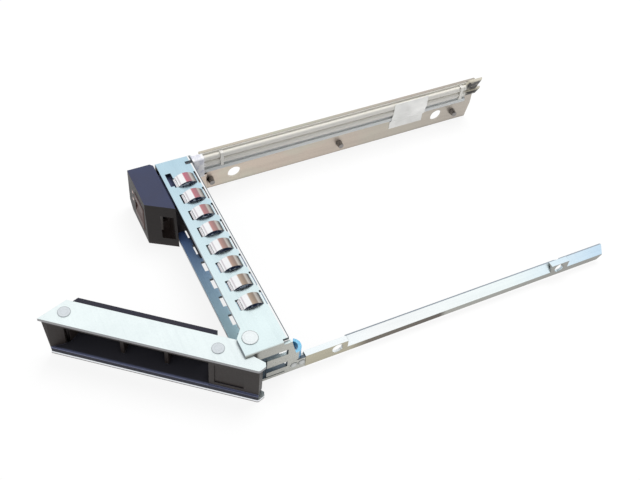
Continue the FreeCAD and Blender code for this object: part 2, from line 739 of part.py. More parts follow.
def make_insert():
    """Mould the black handle insert with its finger cells, ribs, lip and bare panel."""
    body = new_body("handle_insert")

    def section(level, lean):
        end = f"({lean} + insert_end_inset - {HANDLE_REACH})"
        front = "-(handle_front - face_inset)"
        front_shift = f"parting_slope * (housing_front + pivot_depth + {front})"
        back_shift = "parting_slope * (housing_front + pivot_depth + insert_back)"
        points = [(f"{end} + {front_shift}", front), ("handle_near_end - face_inset", front),
                  ("handle_near_end - face_inset", "-insert_throat"),
                  ("-insert_near_reach + insert_throat", "-insert_throat"),
                  ("-insert_near_reach + insert_throat", "-insert_step"),
                  ("-insert_near_reach", "-insert_step"), ("-insert_near_reach", "insert_back"),
                  (f"{end} + {back_shift}", "insert_back")]
        return outline(body, "XY_Plane", level, points)

    loft(body, section(INSERT_FLOOR, "insert_lean"), section(INSERT_TOP, "0"))
    step = block(("-(caddy_width - pivot_inset)", "0"), ("-insert_step", "insert_back"))
    pocket(body, outline(body, "XY_Plane", "insert_step_level", step), f"insert_step_level - {INSERT_FLOOR}")
    depth = "insert_back - cell_back_wall"
    front = "-handle_front"
    ribs = [f"(cell_near_end + {share} * ({CELL_END} - cell_near_end))"
            for share in ("first_rib_share", "second_rib_share")]
    bounds = [(f"-{CELL_END}", f"-{ribs[0]} - rib_sheet / 2"),
              (f"-{ribs[0]} + rib_sheet / 2", f"-{ribs[1]} - rib_sheet / 2"),
              (f"-{ribs[1]} + rib_sheet / 2", "-cell_near_end")]
    cells = [[(low, front), (high, front), (high, depth), (low + shear, depth)]
             for (low, high), shear in zip(bounds, (" + cell_shear", "", ""))]
    pocket(body, outline(body, "XY_Plane", "cell_roof", *cells), "cell_roof - cell_floor")
    mouth = block((f"-{CELL_END}", "-cell_near_end"), (front, f"{front} + rib_recess"))
    pocket(body, outline(body, "XY_Plane", "cell_roof", mouth), "cell_roof - cell_floor")
    ramp = [(f"-{CELL_END} - ramp_reach", front), (f"-{CELL_END}", front),
            (f"-{CELL_END}", f"{front} + ramp_depth")]
    pocket(body, outline(body, "XY_Plane", "cell_roof", ramp), "cell_roof - cell_floor")
    face = block(("-cell_near_end", "handle_near_end"), (front, f"{front} + face_inset + panel_recess"))
    pocket(body, outline(body, "XY_Plane", INSERT_TOP, face), f"{INSERT_TOP} - lip_level")
    badge = block(("-badge_reach", "badge_width - badge_reach"),
                  ("badge_floor", "badge_floor + badge_height"))
    pocket(body, outline(body, "XZ_Plane", "handle_front", badge), "face_inset + panel_recess + badge_recess")
    holes = start_sketch(body, "XY_Plane", INSERT_TOP)
    for reach in (FAR_RIVET, "near_rivet_reach"):
        draw_circle(holes, f"-{reach}", "-handle_rivet_front", "handle_rivet_radius")
    pocket(body, holes, "top_level")
    sweep = "sqrt(pivot_inset ^ 2 + (pivot_depth + bulge_depth) ^ 2) + swing_clearance"
    pocket(body, circle(body, "XY_Plane", "insert_step_level", "0", "0", sweep),
           f"insert_step_level - {INSERT_FLOOR}")
    swing(body)
    return body


def make_housing():
    """Mould the latch housing: a leaning block in front and a lug between the chassis plates."""
    body = new_body("latch_housing")

    def section(level, lean):
        edge = f"({PARTING} + {lean} - caddy_width / 2)"
        points = [(f"{FAR} - housing_far_reach", FACE), (edge, FACE),
                  (f"{edge} + parting_slope * (housing_front - housing_back)", "-housing_back"),
                  (f"{FAR} - housing_far_reach + housing_corner", "-housing_back"),
                  (f"{FAR} - housing_far_reach", "-housing_back - housing_corner")]
        return outline(body, "XY_Plane", level, points)

    loft(body, section("housing_floor", "parting_lean"), section("housing_top", "0"))
    corner = f"{FAR} - housing_far_reach"
    bevel = [(corner, "housing_floor"), (f"{corner} + housing_edge", "housing_floor"),
             (corner, "housing_floor + housing_edge")]
    pocket(body, outline(body, "XZ_Plane", "housing_front", bevel), "housing_front")
    lug = [(f"{FAR} + lug_inset", "-housing_back - 0.5"), (f"{FAR} + lug_step", "-housing_back - 0.5"),
           (f"{FAR} + lug_step", "lug_step_back"), (f"{FAR} + lug_inset + lug_length", "lug_step_back"),
           (f"{FAR} + lug_inset + lug_length", "lug_back"), (f"{FAR} + lug_inset", "lug_back")]
    pad(body, outline(body, "XY_Plane", FLOOR_TOP + " + lug_gap", lug), f"lug_top - lug_gap - {FLOOR_TOP}")
    button = block((f"{FAR} + button_start - button_clearance",
                    f"{FAR} + button_start + button_width + button_clearance"),
                   ("button_floor - button_clearance", "button_floor + button_height + button_clearance"))
    room = "button_depth - button_proud + button_travel + button_clearance"
    pocket(body, outline(body, "XZ_Plane", "housing_front", button), room)
    centre_x = f"{FAR} + button_start + button_width / 2"
    centre_z = "button_floor + button_height / 2"
    pocket(body, circle(body, "XZ_Plane", "housing_front", centre_x, centre_z, "spring_room"),
           "button_depth - button_proud + spring_length")
    bay = block((BAY_WALL, f"{MID_EDGE} + parting_slope * housing_front + bay_depth"),
                ("-bay_start", "-bay_end"))
    pocket(body, outline(body, "XY_Plane", "bay_front_level + bay_height", bay), "bay_height")
    arm = block((f"{FAR} + button_start + button_width", MID_EDGE + " + parting_slope * housing_front"),
                (f"-{HOOK_FRONT} - button_clearance", f"-{HOOK_FRONT} + hook_sheet + button_travel"
                 " + button_clearance"))
    arm_top = "button_floor + (button_height + hook_arm_height) / 2 + button_clearance"
    pocket(body, outline(body, "XY_Plane", arm_top, arm), "hook_arm_height + 2 * button_clearance")
    lenses = [block((f"{FAR} + lens_start", f"{FAR} + lens_start + lens_size"),
                    (level, f"{level} + lens_size")) for level in ("lens_upper_level", "lens_lower_level")]
    pocket(body, outline(body, "XZ_Plane", "housing_front", *lenses), "lens_length")
    return body


def make_button():
    """Mould the release button with its rounded edges and shallow finger dish."""
    body = new_body("release_button")
    low_x = f"{FAR} + button_start"
    shape = block((low_x, f"{low_x} + button_width"), ("button_floor", "button_floor + button_height"))
    front = "housing_front + button_proud"
    pad(body, outline(body, "XZ_Plane", f"{front} - button_depth", shape), "button_depth")
    face = -SIZES["housing_front"] - SIZES["button_proud"]
    rim = edges_where(body.Shape, lambda p, e: near(p.y, face))
    soften(body, "Fillet", "button_edge", rim)
    dish = start_sketch(body, "YZ_Plane", f"{low_x} + button_edge")
    drive(dish, "AttachmentOffset.Base.x", "0")
    draw_circle(dish, f"-({front}) - button_dish_radius + button_dish_depth",
                "button_floor + button_height / 2", "button_dish_radius")
    pocket(body, dish, "button_width - 2 * button_edge", True)
    hook = block((f"{low_x} + button_width - hook_arm_inset", f"{low_x} + button_width"),
                 (f"-{HOOK_FRONT}", f"-{HOOK_FRONT} + hook_sheet"))
    pocket(body, outline(body, "XY_Plane", "button_floor + (button_height + hook_arm_height) / 2", hook),
           "hook_arm_height")
    return body


def make_hook():
    """Bend the latch hook that the button carries out into the side bay."""
    body = new_body("latch_hook")
    low_x = f"{FAR} + button_start + button_width - hook_arm_inset"
    middle = "button_floor + button_height / 2"
    across = (f"{BAY_WALL} + hook_gap", f"{BAY_WALL} + hook_gap + hook_sheet")
    arm = block((low_x, across[1]), (f"-{HOOK_FRONT}", f"-{HOOK_FRONT} + hook_sheet"))
    pad(body, outline(body, "XY_Plane", f"{middle} - hook_arm_height / 2", arm), "hook_arm_height")
    bar = block(across, (f"-{HOOK_FRONT}", f"-{HOOK_FRONT} + hook_sheet"))
    pad(body, outline(body, "XY_Plane", f"{middle} - hook_bar_height / 2", bar), "hook_bar_height")
    return body


def make_lens(name, level):
    """Mould one square indicator lens that fills its window in the housing."""
    body = new_body(name)
    window = block((f"{FAR} + lens_start", f"{FAR} + lens_start + lens_size"),
                   (level, f"{level} + lens_size"))
    pad(body, outline(body, "XZ_Plane", "housing_front - lens_length", window), "lens_length + slide_gap")
    return body


def make_pin():
    """Turn the pivot pin, riveted into both chassis plates, with a low wide head."""
    body = new_body("pivot_pin")
    foot = f"{HANDLE_FLOOR} + pin_foot_gap"
    pad(body, circle(body, "XY_Plane", foot, PIVOT_X, "pivot_depth", "pin_radius"), f"top_level - ({foot})")
    pad(body, circle(body, "XY_Plane", "top_level", PIVOT_X, "pivot_depth", "pin_head_radius"),
        "pin_head_height")
    return body


def cylinder(name, axis, across, along, level, radius, length):
    """Place one plain cylinder along X or Z, its base centre given by three formulas."""
    item = doc.addObject("Part::Cylinder", name)
    turn = FreeCAD.Rotation(AXIS_Z, AXIS_X) if axis == "X" else FreeCAD.Rotation()
    item.Placement = FreeCAD.Placement(FreeCAD.Vector(), turn)
    for field, formula in (("Placement.Base.x", across), ("Placement.Base.y", along),
                           ("Placement.Base.z", level), ("Radius", radius), ("Height", length)):
        drive(item, field, formula)
    return item


def bevel_head(name, across, along, level, radius, length, side):
    """Place one bevelled rivet head on a wall that faces along X, wide end on the wall."""
    item = doc.addObject("Part::Cone", name)
    turn = FreeCAD.Rotation(AXIS_Z, AXIS_X if side > 0 else -AXIS_X)
    item.Placement = FreeCAD.Placement(FreeCAD.Vector(), turn)
    for field, formula in (("Placement.Base.x", across), ("Placement.Base.y", along),
                           ("Placement.Base.z", level), ("Radius1", radius),
                           ("Radius2", f"{radius} * 0.7"), ("Height", length)):
        drive(item, field, formula)
    return item


def join(name, pieces):
    """Fuse touching primitives into one solid."""
    item = doc.addObject("Part::MultiFuse", name)
    item.Shapes = pieces
    return item


def group(name, pieces):
    """Keep separate solids together as one sub-part."""
    item = doc.addObject("Part::Compound", name)
    item.Links = pieces
    item.Label = name
    return item


def make_rail_rivets(name, outer, inner, grip, places):
    """Set the rivets that clamp one rail's tongue to a chassis wall."""
    rivets = []
    for number, (along, level) in enumerate(places):
        stem = f"{name}_{number}"
        shank = cylinder(f"{stem}_shank", "X", outer, along, level, "rivet_radius", grip)
        heads = [bevel_head(f"{stem}_low", outer, along, level, "rivet_head_radius", "rivet_head_height", -1),
                 bevel_head(f"{stem}_high", inner, along, level, "rivet_head_radius", "rivet_head_height", 1)]
        rivets.append(join(stem, [shank] + heads))
    return group(name, rivets)


def make_studs():
    """Press the three spacing studs into the far rail, facing the drive."""
    studs = []
    for number, place in enumerate(("stud_front", "stud_middle", "stud_back")):
        stem = f"locating_stud_{number}"
        stud = doc.addObject("Part::Cone", stem)
        stud.Placement = FreeCAD.Placement(FreeCAD.Vector(), FreeCAD.Rotation(AXIS_Z, AXIS_X))
        for field, formula in (("Placement.Base.x", FAR_INNER), ("Placement.Base.y", place),
                               ("Placement.Base.z", "screw_level"), ("Radius1", "stud_radius"),
                               ("Radius2", "stud_radius * 0.8"), ("Height", "stud_height")):
            drive(stud, field, formula)
        studs.append(stud)
    return group("locating_studs", studs)


def make_handle_rivets():
    """Set the two rivets that clamp the handle plates onto the insert."""
    rivets = []
    for number, reach in enumerate((FAR_RIVET, "near_rivet_reach")):
        stem = f"handle_rivet_{number}"
        shank = cylinder(f"{stem}_shank", "Z", f"-{reach}", "-handle_rivet_front", HANDLE_FLOOR,
                         "handle_rivet_radius", f"{INSERT_TOP} + handle_sheet - {HANDLE_FLOOR}")
        head = cylinder(f"{stem}_head", "Z", f"-{reach}", "-handle_rivet_front",
                        f"{INSERT_TOP} + handle_sheet", "handle_rivet_head", "handle_rivet_head_height")
        rivets.append(join(stem, [shank, head]))
    item = group("handle_rivets", rivets)
    swing(item)
    return item


def coil(radius, wire, turns, length):
    """Return one closed wire coil along Z, from level 0 to its length, in short straight steps."""
    steps = 12
    sides = 6
    count = turns * steps
    route = [FreeCAD.Vector(radius * math.cos(math.tau * i / steps), radius * math.sin(math.tau * i / steps),
                            length * i / count) for i in range(count + 1)]
    section = [FreeCAD.Vector(radius + wire * math.cos(math.tau * (i + 0.5) / sides), 0,
                              wire * math.sin(math.tau * (i + 0.5) / sides)) for i in range(sides)]
    profile = Part.makePolygon(section + section[:1])
    return Part.makePolygon(route).makePipeShell([profile], True, False, 1)


def make_button_spring():
    """Wind the spring that pushes the button out, between the button and the housing."""
    item = doc.addObject("Part::Feature", "button_spring")
    item.Label = "button_spring"
    wire = SIZES["spring_wire"]
    length = SIZES["spring_length"] - 2 * wire
    item.Shape = coil(SIZES["spring_radius"], wire, SIZES["spring_turns"], length)
    back = -SIZES["housing_front"] - SIZES["button_proud"] + SIZES["button_depth"]
    middle = SIZES["button_start"] + SIZES["button_width"] / 2 - SIZES["caddy_width"] / 2
    level = SIZES["button_floor"] + SIZES["button_height"] / 2
    item.Placement = FreeCAD.Placement(FreeCAD.Vector(middle, back + wire, level),
                                       FreeCAD.Rotation(AXIS_X, -90))
    return item


def make_handle_spring():
    """Wind the torsion spring that opens the handle, round the pivot pin."""
    item = doc.addObject("Part::Feature", "handle_spring")
    item.Label = "handle_spring"
    wire = SIZES["spring_wire"]
    radius = SIZES["pin_radius"] + SIZES["handle_spring_gap"] + wire
    turns = SIZES["handle_spring_turns"]
    item.Shape = coil(radius, wire, turns, 2 * turns * wire + SIZES["handle_spring_rise"])
    level = SIZES["floor_level"] + SIZES["sheet"] + SIZES["handle_spring_lift"]
    pivot = SIZES["caddy_width"] / 2 - SIZES["pivot_inset"]
    item.Placement = FreeCAD.Placement(FreeCAD.Vector(pivot, SIZES["pivot_depth"], level),
                                       FreeCAD.Rotation())
    return item


parts = [
    make_chassis(),
    make_finger_strip(),
    make_far_rail(),
    make_near_rail(),
    make_light_pipe("light_pipe_upper", "upper_pipe_floor", "tip_rise"),
    make_light_pipe("light_pipe_lower", "lower_pipe_floor", "0"),
    make_carrier(),
    make_clip("light_pipe_clip_front", "clip_front"),
    make_clip("light_pipe_clip_rear", "clip_back"),
    make_label(),
    make_studs(),
    make_rail_rivets("far_rail_rivets", FAR, f"{FAR_INNER} + sheet", "2 * sheet",
                     [("far_rivet_depth", "far_rivet_low"), ("far_rivet_depth", "far_rivet_high")]),
    make_rail_rivets("near_rail_rivets", f"{NEAR_INNER} - rail_sheet", NEAR, "sheet + rail_sheet",
                     [("near_rivet_first", "near_rivet_low"), ("near_rivet_second", "near_rivet_low")]),
    make_housing(),
    make_button(),
    make_hook(),
    make_button_spring(),
    make_lens("indicator_lens_upper", "lens_upper_level"),
    make_lens("indicator_lens_lower", "lens_lower_level"),
    make_pin(),
    make_handle_spring(),
    make_handle_plate("handle_top_plate", INSERT_TOP, "0"),
    make_handle_plate("handle_bottom_plate", HANDLE_FLOOR, "parting_lean"),
    make_insert(),
    make_handle_rivets(),
]

doc.recompute()
for item in doc.Objects:
    if "Invalid" in item.State or "Error" in item.State:
        raise RuntimeError(f"{item.Name} failed")
for item in parts:
    if item.Shape.isNull() or not item.Shape.isValid() or not item.Shape.Solids:
        raise RuntimeError(f"{item.Label} has no valid solid")
os.makedirs("parts", exist_ok=True)
for item in parts:
    item.Shape.exportStep(f"parts/{item.Label}.step")
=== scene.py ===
"""Looks of the hot swap drive caddy: finishes, contact fingers, light, floor and the camera."""

import math

import bmesh
import bpy
from mathutils import Matrix, Vector


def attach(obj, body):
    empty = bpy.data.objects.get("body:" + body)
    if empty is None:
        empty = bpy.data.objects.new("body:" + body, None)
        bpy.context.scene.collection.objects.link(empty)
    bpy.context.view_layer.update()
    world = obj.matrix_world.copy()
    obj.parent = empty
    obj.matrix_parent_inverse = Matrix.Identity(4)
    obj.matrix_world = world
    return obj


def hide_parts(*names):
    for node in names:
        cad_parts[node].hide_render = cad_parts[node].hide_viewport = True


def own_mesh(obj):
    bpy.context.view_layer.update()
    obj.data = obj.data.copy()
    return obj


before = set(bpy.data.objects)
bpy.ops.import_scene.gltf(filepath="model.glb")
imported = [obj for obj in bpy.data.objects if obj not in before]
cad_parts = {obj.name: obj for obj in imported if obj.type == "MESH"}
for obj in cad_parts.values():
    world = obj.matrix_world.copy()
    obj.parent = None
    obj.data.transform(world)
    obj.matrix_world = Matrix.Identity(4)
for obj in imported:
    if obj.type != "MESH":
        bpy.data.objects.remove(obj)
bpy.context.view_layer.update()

MM = 0.001
X, Y, Z = range(3)

# The contact fingers, as the photo shows them. Every size and place is in millimetres, here and
# below, unless its comment says otherwise
FINGER_COUNT = 8
FINGER_PITCH = 7.12
FINGER_START = -29.84
FINGER_WIDTH = 4.0
FINGER_SHEET = 0.2
FINGER_GAP = FINGER_PITCH - FINGER_WIDTH
FINGERS_END = FINGER_START + FINGER_PITCH * FINGER_COUNT - FINGER_GAP
LEG_WIDTH = 3.5
LEG_FOOT = 15.3
ARCH_FRONT = 3.3
ARCH_BACK = 9.2
ARCH_FOOT = 16.3
ARCH_TOP = 17.53
ARCH_STEPS = 20
TONGUE_FRONT = 2.75
TONGUE_LEVEL = 16.05
TONGUE_RISE = 0.05
HOOK_BEND = 0.12
HOOK_LEAN = 0.02
HOOK_DROP = 0.1
HEEL_BEND = 0.2
HEEL_LEAN = 0.05
HEEL_DROP = 0.5
BAND_LEVEL = 15.14
BAND_FRONT = 7.9
BAND_BACK = 9.66

# The plate's painted shade under the arches, and how soft its edges are. Its sides begin and end
# beside the finger's, in shares of the pitch
GROUND_FRONT = ARCH_FRONT + 0.4
GROUND_BACK = ARCH_BACK - 0.1
GROUND_LOW = 16.15
GROUND_HIGH = 16.25
GROUND_BLUR = 0.05
GROUND_SIDE = (0.02, -0.01)

# How far the handle stands open at rest, in radians
HANDLE_ANGLE = math.radians(51.1)

# Where looks change on the chassis, each pair from one look to the next
RISE_TO_PLATE = (6.0, 12.0)
PLATE_SIDES = (-36.0, 26.0)
FLOOR_SIDES = (-20.0, 22.0)
FLOOR_SHADE = (28.0, 31.0)
WALL_ENDS = (-2.0, 13.0)
WALL_OUTSIDE = (36.6, 37.4)
REAR_BAND = (10.15, 10.25)
REAR_LINE = (10.62, 10.66)
REAR_BAND_HEIGHT = (15.5, 16.0)
SLOT_REAR = (9.8, 10.0)
SLOT_HEIGHT = (15.0, 15.2)
TAB_REAR = (12.7, 13.1)
TAB_HEIGHT = (5.4, 5.8)
TAB_SIDE = (37.9, 37.5)
NEAR_HALF = (0.0, 10.0)

# The same on the block and the handle. From the lip to the cells counts across the handle, with
# the part turned so that the handle lies square
BLOCK_TOP = (13.0, 14.0)
LIP_TOP = (3.0, 2.8)
LIP_LINE = (2.2, 2.5)
LIP_TO_CELLS = (-33.4, -32.9)
HANDLE_TIP = (-50.0, -30.0)
LOW_PLATE_RIM = (0.18, 0.4)
UPPER_RIM = (4.0, 10.0)
SHANK_FOOT = (2.4, 2.8)
SHANK_TOP = (14.2, 13.8)

# The same on the two rails, and the length in which the low rail's bands are placed
RAIL_REAR = (30.0, 110.0)
ABOVE_PIPES = (12.0, 12.8)
BANDS_LENGTH = 120.0

# The same on the fingers, the light pipes and their backing strip
ROSY_TO_BROWN = (-30.0, 14.0)
PIPE_BEND = (16.0, 14.0)
PIPE_PRISM = (111.8, 112.6)
STRIP_TOP = (9.8, 10.4)
STRIP_WRAP = (15.2, 14.9)

# How far a surface faces one way, from -1 to 1, where it begins to count and where it counts fully
FACING_UP = (0.5, 0.9)
FACING_FRONT = (-0.6, -0.9)

# How far each kind of grain is drawn out
ALONG_Y = (1.0, 0.04, 1.0)
ALONG_X = (0.04, 1.0, 1.0)
ALL_WAYS = (1.0, 1.0, 1.0)

# The usual range of a noise, the openness from a closed corner to a free face, and the cosine
# between a face and its rounded edge from no wear to full wear
NOISE_RANGE = (0.3, 0.7)
OPENNESS = (0.25, 0.85)
EDGE_TURN = (0.98, 0.80)

WHITE = (1.0, 1.0, 1.0, 1.0)

# The Mix node's sockets for two colours and their mixture
FIRST_COLOUR, SECOND_COLOUR, MIXED_COLOUR = 6, 7, 2

# The camera, solved from the photo's edges: its place and its right, down and forward directions
FOCAL_PIXELS = 944.556
IMAGE_WIDTH = 640
SENSOR_WIDTH = 36.0
NEAREST = 10.0
EYE = (164.3, -59.8, 221.9)
RIGHT = (0.43722, 0.89606, 0.07690)
DOWN = (0.69884, -0.28468, -0.65618)
AHEAD = (-0.56609, 0.34064, -0.75068)

# The room in metres. Each lamp has a name, a place, a width and a power in watts
FLOOR_HALF = 3.0
FLOOR_LEVEL = -0.0002
FLOOR_GLOW = 0.85
SKY_ON_PART = 0.5
SKY_SEEN = 1.0
CENTRE = (0.0, 0.03, 0.0)
LAMPS = (
    ("key", (-0.25, 0.35, 0.85), 0.6, 7.0),
    ("fill", (0.7, -0.3, 0.6), 0.8, 1.7),
    ("front", (-0.4, -0.6, 0.5), 0.6, 1.2),
)


class Nodes:
    """A short way to build one material's node tree.

    A tint may set metal, how metallic the surface is, and open_air, where no crevice shade falls.
    """

    def __init__(self, name):
        self.material = bpy.data.materials.new(name)
        self.material.use_nodes = True
        self.tree = self.material.node_tree
        self.shader = self.tree.nodes["Principled BSDF"]
        self.place = self.add("ShaderNodeTexCoord").outputs["Object"]
        self.open_air = 0.0
        self.metal = 1.0

    def add(self, kind, **settings):
        """Add one node with its settings."""
        node = self.tree.nodes.new(kind)
        for key, value in settings.items():
            setattr(node, key, value)
        return node

    def feed(self, socket, value):
        """Link an output to a socket, or set the socket's own value."""
        if isinstance(value, bpy.types.NodeSocket):
            self.tree.links.new(value, socket)
        else:
            socket.default_value = value

    def set(self, **values):
        """Feed the shader's sockets by name."""
        for key, value in values.items():
            self.feed(self.shader.inputs[key.replace("_", " ")], value)

    def stretch(self, scale, turn=(0, 0, 0)):
        """Return the place on the object, turned and then scaled."""
        node = self.add("ShaderNodeMapping")
        self.feed(node.inputs["Vector"], self.place)
        node.inputs["Scale"].default_value = scale
        node.inputs["Rotation"].default_value = turn
        return node.outputs["Vector"]

    def noise(self, scale, detail=3.0, rough=0.5, vector=None):
        """Return a noise of about so many waves to the metre."""
        node = self.add("ShaderNodeTexNoise")
        node.inputs["Scale"].default_value = scale
        node.inputs["Detail"].default_value = detail
        node.inputs["Roughness"].default_value = rough
        self.feed(node.inputs["Vector"], vector or self.place)
        return node.outputs["Fac"]

    def between(self, value, low, high, to_low=0.0, to_high=1.0):
        """Map a value from one range to another, held inside it."""
        node = self.add("ShaderNodeMapRange")
        self.feed(node.inputs["Value"], value)
        ends = {"From Min": low, "From Max": high, "To Min": to_low, "To Max": to_high}
        for key, number in ends.items():
            node.inputs[key].default_value = number
        return node.outputs["Result"]

    def sway(self, noise, to_low, to_high):
        """Map a noise from its usual range to another."""
        return self.between(noise, *NOISE_RANGE, to_low, to_high)

    def past(self, axis, low, high):
        """Return 0 to 1 as the place on the object goes from low to high along one axis."""
        return self.between(self.along(axis), low * MM, high * MM)

    def faces(self, axis, low, high):
        """Return 0 to 1 as the surface's facing along one axis goes from low to high."""
        return self.between(self.facing(axis), low, high)

    def mix(self, factor, first, second):
        """Mix two colours."""
        return self.blend("MIX", factor, first, second)

    def blend(self, kind, factor, first, second):
        """Blend the second colour over the first in the way that kind names."""
        node = self.add("ShaderNodeMix", data_type="RGBA", blend_type=kind)
        self.feed(node.inputs["Factor"], factor)
        self.feed(node.inputs[FIRST_COLOUR], first)
        self.feed(node.inputs[SECOND_COLOUR], second)
        return node.outputs[MIXED_COLOUR]

    def bands(self, value, low, high, stops):
        """Colour a value by stops of (value, colour) between low and high."""
        node = self.add("ShaderNodeValToRGB")
        self.feed(node.inputs["Fac"], self.between(value, low, high))
        ramp = node.color_ramp
        while len(ramp.elements) < len(stops):
            ramp.elements.new(0.5)
        for element, (place, colour) in zip(ramp.elements, stops):
            element.position = (place - low) / (high - low)
            element.color = colour
        return node.outputs["Color"]

    def maths(self, kind, first, second=0.0):
        """Return one sum or function of two values."""
        node = self.add("ShaderNodeMath", operation=kind)
        self.feed(node.inputs[0], first)
        self.feed(node.inputs[1], second)
        return node.outputs[0]

    def all_of(self, first, *others):
        """Return the product of several masks or shares."""
        for mask in others:
            first = self.maths("MULTIPLY", first, mask)
        return first

    def crevice(self, reach, floor):
        """Return painted shade, a grey from 1 to floor where the surface is closed in within reach.
        """
        node = self.add("ShaderNodeAmbientOcclusion", samples=8)
        node.inputs["Distance"].default_value = reach * MM
        level = self.between(node.outputs["AO"], *OPENNESS, floor, 1.0)
        grey = self.add("ShaderNodeCombineColor")
        for channel in range(3):
            self.feed(grey.inputs[channel], level)
        return grey.outputs[0]

    def part_of(self, vector, axis):
        """Return one component of a vector output."""
        node = self.add("ShaderNodeSeparateXYZ")
        self.feed(node.inputs[0], vector)
        return node.outputs[axis]

    def facing(self, axis):
        """Return how far the true surface faces along one axis of the object, signed."""
        shape = self.add("ShaderNodeNewGeometry")
        turn = self.add("ShaderNodeVectorTransform", vector_type="NORMAL",
                        convert_from="WORLD", convert_to="OBJECT")
        self.feed(turn.inputs[0], shape.outputs["Normal"])
        return self.part_of(turn.outputs[0], axis)

    def along(self, axis):
        """Return the place on the object along one axis, in metres."""
        return self.part_of(self.place, axis)

    def bump(self, height, strength, depth):
        """Raise the surface by a height from 0 to 1 that stands for so much depth."""
        node = self.add("ShaderNodeBump")
        node.inputs["Strength"].default_value = strength
        node.inputs["Distance"].default_value = depth * MM
        self.feed(node.inputs["Height"], height)
        self.feed(self.shader.inputs["Normal"], node.outputs["Normal"])

    def edges(self, width):
        """Return how near an edge the point is, from 0 to 1, for a wear of this width."""
        bevel = self.add("ShaderNodeBevel", samples=6)
        bevel.inputs["Radius"].default_value = width * MM
        shape = self.add("ShaderNodeNewGeometry")
        dot = self.add("ShaderNodeVectorMath", operation="DOT_PRODUCT")
        self.feed(dot.inputs[0], bevel.outputs["Normal"])
        self.feed(dot.inputs[1], shape.outputs["Normal"])
        return self.between(dot.outputs["Value"], *EDGE_TURN)


def rgb(red, green, blue):
    """Turn a screen colour from 0 to 255 into a linear one."""
    return tuple((c / 255) ** 2.2 for c in (red, green, blue)) + (1.0,)


def steel(name, tint, grain, rough, spots=0.3, rim=0.9, width=0.14, closed=0.3, veil=0.88):
    """Plated sheet steel: drawn grain along one axis, cloudy plating, scratches and dark edges.

    Spots is the share of fine flecks in its clouds. Veil, rim and closed are how much of the
    colour is left under a cloud, on an edge of the given width, and in a crevice as painted shade.
    """
    kit = Nodes(name)
    streaks = kit.noise(scale=900.0, detail=2.0, rough=0.6, vector=kit.stretch(grain))
    clouds = kit.noise(scale=70.0, detail=4.0, rough=0.6)
    flecks = kit.noise(scale=2600.0, detail=2.0, rough=0.5)
    pale = tint(kit)
    tone = kit.maths("ADD", kit.sway(clouds, 0.0, 1.0 - spots),
                     kit.between(flecks, 0.35, 0.65, 0.0, spots))
    veiled = (veil, veil + 0.01, veil + 0.02, 1.0)
    body = kit.blend("MULTIPLY", kit.between(tone, 0.0, 1.0, 1.0, 0.0), pale, veiled)
    scratched = (0.9, 0.9, 0.91, 1.0)
    body = kit.blend("MULTIPLY", kit.between(streaks, 0.5, 0.8, 0.0, 0.5), body, scratched)
    shade = kit.mix(kit.open_air, kit.crevice(reach=1.4, floor=closed), WHITE)
    body = kit.blend("MULTIPLY", 1.0, body, shade)
    kit.set(Base_Color=kit.blend("MULTIPLY", kit.edges(width), body, (rim, rim, rim, 1.0)),
            Metallic=kit.metal,
            Roughness=kit.maths("ADD", kit.sway(streaks, rough - 0.06, rough + 0.06),
                                kit.sway(clouds, -0.04, 0.04)))
    height = kit.maths("ADD", streaks, kit.maths("MULTIPLY", flecks, 0.5))
    kit.bump(height, strength=0.1, depth=0.04)
    return kit.material


def plain(colour):
    """Return a tint that is one plating colour all over."""
    return lambda kit: colour


def zinc_tint(kit):
    """Blue zinc plating: pale where it lies up and grey on the walls as painted reflections, and
    deep blue inside on the floor as painted shade.

    The slots' rear edges are white as a painted highlight, and the curled tab is blue, paler where
    it faces up as painted light, with no crevice shade on either.
    """
    up = kit.faces(Z, *FACING_UP)
    shaded = painted_shade_under_arches(kit)
    raised = kit.past(Z, *RISE_TO_PLATE)
    kit.metal = kit.maths("SUBTRACT", raised, shaded)
    # What faces the front is painted a darker grey as painted shade
    front = kit.all_of(kit.faces(Y, *FACING_FRONT), 0.75)
    body = kit.mix(up, zinc_wall(kit), zinc_lying(kit, raised, shaded))
    body = kit.mix(front, body, rgb(132, 142, 154))
    tab = kit.all_of(kit.past(Y, *TAB_REAR), kit.past(Z, *TAB_HEIGHT), kit.past(X, *TAB_SIDE),
                     kit.past(X, *NEAR_HALF))
    # The slots' rear edges are painted white as a highlight
    slot_highlight = kit.all_of(kit.faces(Y, *FACING_FRONT), kit.past(Y, *SLOT_REAR),
                      kit.past(Z, *SLOT_HEIGHT))
    kit.open_air = kit.maths("MAXIMUM", shaded, kit.maths("MAXIMUM", tab, slot_highlight))
    body = kit.mix(slot_highlight, body, rgb(250, 252, 253))
    # The curled tab is blue, paler where it faces up as painted light
    return kit.mix(tab, body, kit.mix(up, rgb(78, 170, 226), rgb(132, 196, 230)))


def zinc_lying(kit, raised, shaded):
    """Colour what lies up: the top plate, its rear band and the floor, paler to the near side."""
    top = kit.mix(kit.past(X, *PLATE_SIDES), rgb(192, 221, 235), rgb(236, 252, 253))
    # The floor is painted shade in deep blue, paler towards the near side
    low = kit.mix(kit.past(X, *FLOOR_SIDES), rgb(92, 120, 180), rgb(206, 244, 255))
    low = kit.mix(kit.past(X, *FLOOR_SHADE), low, rgb(84, 96, 106))
    lying = kit.mix(raised, low, top)
    # Under the arches the plate is painted shade in navy, with pale spots of painted reflection
    spots = kit.between(kit.noise(scale=900.0, detail=2.0, rough=0.5), 0.52, 0.6)
    lying = kit.mix(shaded, lying, kit.mix(spots, rgb(60, 70, 98), rgb(214, 230, 248)))
    rear = kit.mix(kit.past(Y, *REAR_LINE), rgb(254, 254, 254), rgb(120, 130, 136))
    band = kit.all_of(kit.past(Y, *REAR_BAND), kit.past(Z, *REAR_BAND_HEIGHT))
    return kit.mix(band, lying, rear)


